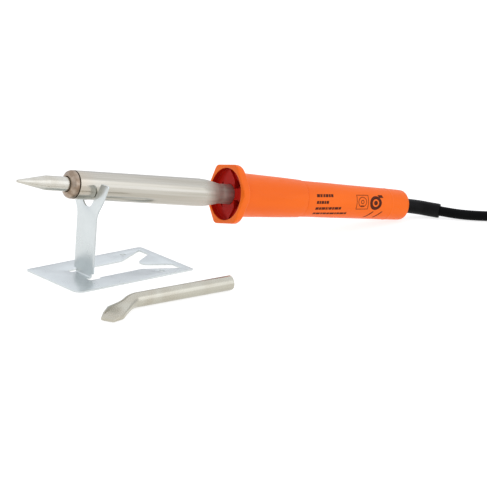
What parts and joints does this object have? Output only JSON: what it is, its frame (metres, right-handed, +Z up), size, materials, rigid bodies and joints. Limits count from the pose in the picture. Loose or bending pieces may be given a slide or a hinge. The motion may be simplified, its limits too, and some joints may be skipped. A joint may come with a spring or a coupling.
{
  "type": "soldering iron",
  "caption": "Mains soldering iron with a conical bit, steel barrel and flanged handle, resting in a folded sheet-metal fork stand, with its lead in a tied hank and a spare bent bit.",
  "frame": {"origin": "on the table top, under the middle of the iron, its stand and its spare bit (the lead, its sleeve and its plug left out)", "axes": "+Z up; +X from the bit towards the lead, along the stand's long side; +Y away from the side that the handle's print faces"},
  "size_m": [0.5494, 0.1231, 0.0732],
  "materials": {
    "nickel_tip": "satin nickel plating over copper",
    "tinted_ring": "steel tinted brown by heat, satin",
    "barrel_steel": "polished stainless tube with fine lengthwise grain",
    "zinc_sheet": "bright zinc-plated sheet, soft sheen",
    "orange_plastic": "satin moulded plastic",
    "heater_wire": "resistance wire",
    "mica": "mica sheet",
    "ceramic": "fired ceramic",
    "sleeve_rubber": "soft black rubber sleeve",
    "cord_sheath": "black rubber sheath",
    "core_brown": "insulation",
    "core_blue": "insulation",
    "core_green": "insulation",
    "bakelite": "moulded phenolic",
    "screw_steel": "zinc-plated screw",
    "plug_plastic": "moulded black plastic",
    "plug_metal": "nickel-plated brass",
    "tie_black": "black plastic strap"
  },
  "bodies": {
    "stand": {"stand_sheet": "zinc_sheet", "cord_hank": "cord_sheath", "cord_tail": "cord_sheath", "cord_tie": "tie_black", "plug_body": "plug_plastic", "plug_pin_1": "plug_metal", "plug_pin_2": "plug_metal", "plug_earth_clip_1": "plug_metal", "plug_earth_clip_2": "plug_metal"},
    "iron": {"nose_ring": "tinted_ring", "barrel": "barrel_steel", "bit_tube": "barrel_steel", "inner_mica": "mica", "heater_coil": "heater_wire", "outer_mica": "mica", "front_insulator": "ceramic", "rear_insulator": "ceramic", "live_lead": "heater_wire", "neutral_lead": "heater_wire", "handle_guard": "orange_plastic", "handle_grip": "orange_plastic", "barrel_flange": "screw_steel", "flange_screw_1": "screw_steel", "flange_screw_2": "screw_steel", "earth_lead": "core_green", "terminal_block": "ceramic", "terminal_screw_1": "screw_steel", "terminal_screw_2": "screw_steel", "terminal_screw_3": "screw_steel", "live_core": "core_brown", "neutral_core": "core_blue", "earth_core": "core_green", "cord_clamp": "bakelite", "clamp_screw_1": "screw_steel", "clamp_screw_2": "screw_steel", "grip_screw_1": "screw_steel", "grip_screw_2": "screw_steel", "cord_lead": "cord_sheath", "strain_relief": "sleeve_rubber"},
    "tip": {"tip": "nickel_tip"},
    "tip_screw": {"tip_screw": "screw_steel"},
    "spare_bit": {"spare_tip": "nickel_tip"}
  },
  "joints": [
    {"name": "iron_lift", "type": "slide", "parent": "stand", "child": "iron", "axis": [0, 0, 1], "range_m": [0, 0.04]},
    {"name": "tip_pull", "type": "slide", "parent": "iron", "child": "tip", "axis": [-0.98, 0.0502, 0.1926], "range_m": [0, 0.064]},
    {"name": "tip_screw_out", "type": "slide", "parent": "iron", "child": "tip_screw", "axis": [0.0169, 0.9852, -0.1704], "range_m": [0, 0.004]},
    {"name": "spare_bit_lift", "type": "slide", "parent": "stand", "child": "spare_bit", "axis": [0, 0, 1], "range_m": [0, 0.03]}
  ]
}
